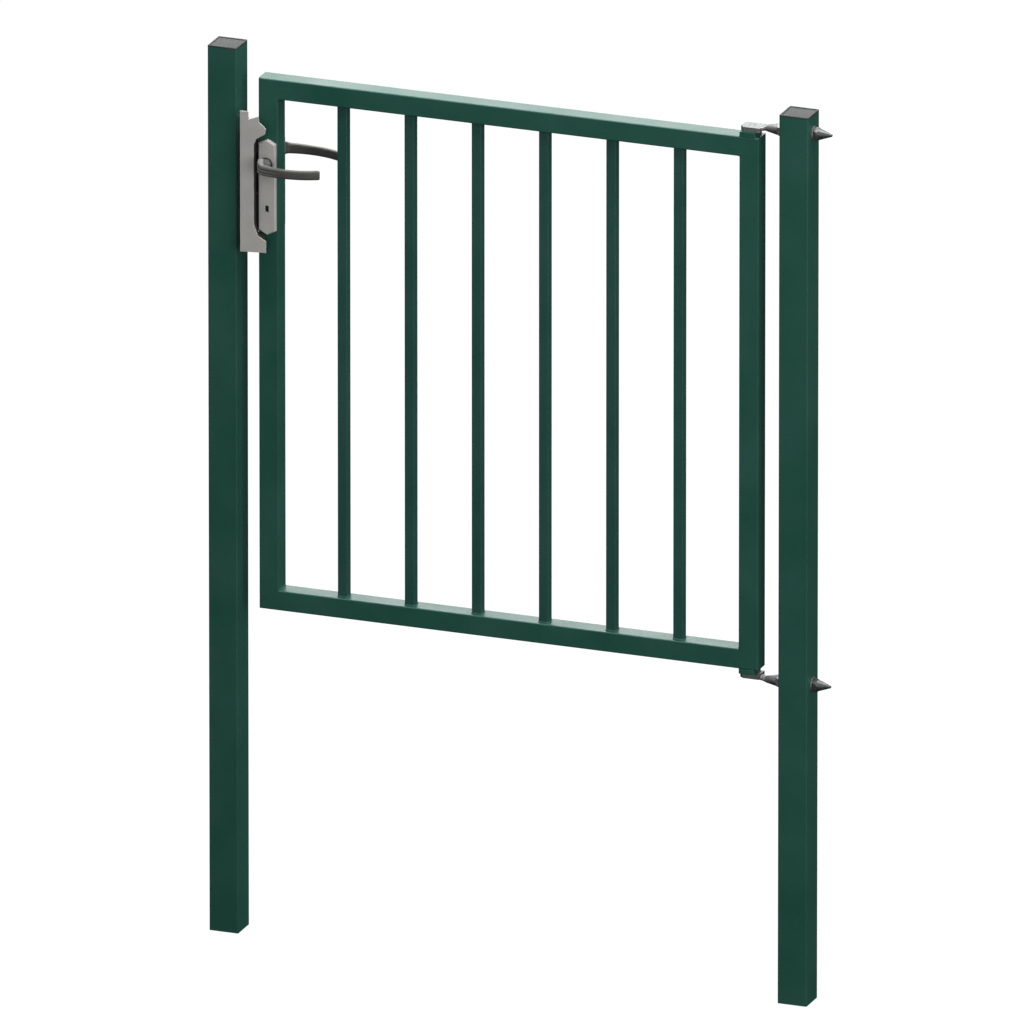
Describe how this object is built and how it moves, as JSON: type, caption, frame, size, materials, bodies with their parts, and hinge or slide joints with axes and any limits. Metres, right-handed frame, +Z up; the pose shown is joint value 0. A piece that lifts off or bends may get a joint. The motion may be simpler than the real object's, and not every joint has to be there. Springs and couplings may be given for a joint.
{
  "type": "garden swing gate",
  "caption": "Green tubular metal garden gate with upright bars, hung between square posts on adjustable hinges, with a lever lock and keeper.",
  "frame": {"origin": "centre of the hinge post's foot, at the bottom of its buried length", "axes": "+X from the latch post to the hinge post, +Y from the street side inwards, the way the leaf opens, +Z up"},
  "size_m": [1.27, 0.1632, 1.801],
  "materials": {
    "green_coat": "satin powder coat",
    "cap_plastic": "matt moulded",
    "keeper_metal": "satin grey",
    "escutcheon_metal": "satin",
    "buffer_rubber": "matt",
    "strike_plastic": "matt moulded",
    "lever_coat": "satin",
    "lock_steel": "brushed",
    "zinc_steel": "dull zinc",
    "nut_coat": "satin black coat"
  },
  "bodies": {
    "posts": {"hinge_post": "green_coat", "latch_post": "green_coat", "hinge_post_cap": "cap_plastic", "latch_post_cap": "cap_plastic", "upper_eye_bolt": "zinc_steel", "upper_inner_washer": "zinc_steel", "upper_outer_washer": "zinc_steel", "upper_inner_nut": "zinc_steel", "upper_outer_nut": "nut_coat", "lower_eye_bolt": "zinc_steel", "lower_inner_washer": "zinc_steel", "lower_outer_washer": "zinc_steel", "lower_inner_nut": "zinc_steel", "lower_outer_nut": "nut_coat", "keeper_bracket": "keeper_metal", "keeper_plate": "keeper_metal", "keeper_buffer": "buffer_rubber", "strike_box": "strike_plastic", "keeper_screw_upper": "zinc_steel", "keeper_screw_lower": "zinc_steel"},
    "leaf": {"back_escutcheon": "escutcheon_metal", "bottom_rail": "green_coat", "dead_bolt": "lock_steel", "front_escutcheon": "escutcheon_metal", "hinge_stile": "green_coat", "infill_bar_1": "green_coat", "infill_bar_2": "green_coat", "infill_bar_3": "green_coat", "infill_bar_4": "green_coat", "infill_bar_5": "green_coat", "infill_bar_6": "green_coat", "latch_bolt": "lock_steel", "latch_stile": "green_coat", "lock_case": "lock_steel", "lock_faceplate": "lock_steel", "lower_hinge_block": "green_coat", "lower_hinge_pin": "zinc_steel", "top_rail": "green_coat", "upper_hinge_block": "green_coat", "upper_hinge_pin": "zinc_steel"},
    "handle": {"front_lever": "lever_coat", "back_lever": "lever_coat", "spindle": "lock_steel"}
  },
  "joints": [
    {"name": "leaf_swing", "type": "hinge", "parent": "posts", "child": "leaf", "pos_m": [-0.095, 0, 1.2055], "axis": [0, 0, -1], "range_deg": [0, 110]},
    {"name": "handle_turn", "type": "hinge", "parent": "leaf", "child": "handle", "pos_m": [-1.081, 0, 1.575], "axis": [0, 1, 0], "range_deg": [0, 40], "stiffness_Nm_per_rad": 1.5, "springref_deg": -20.05}
  ]
}
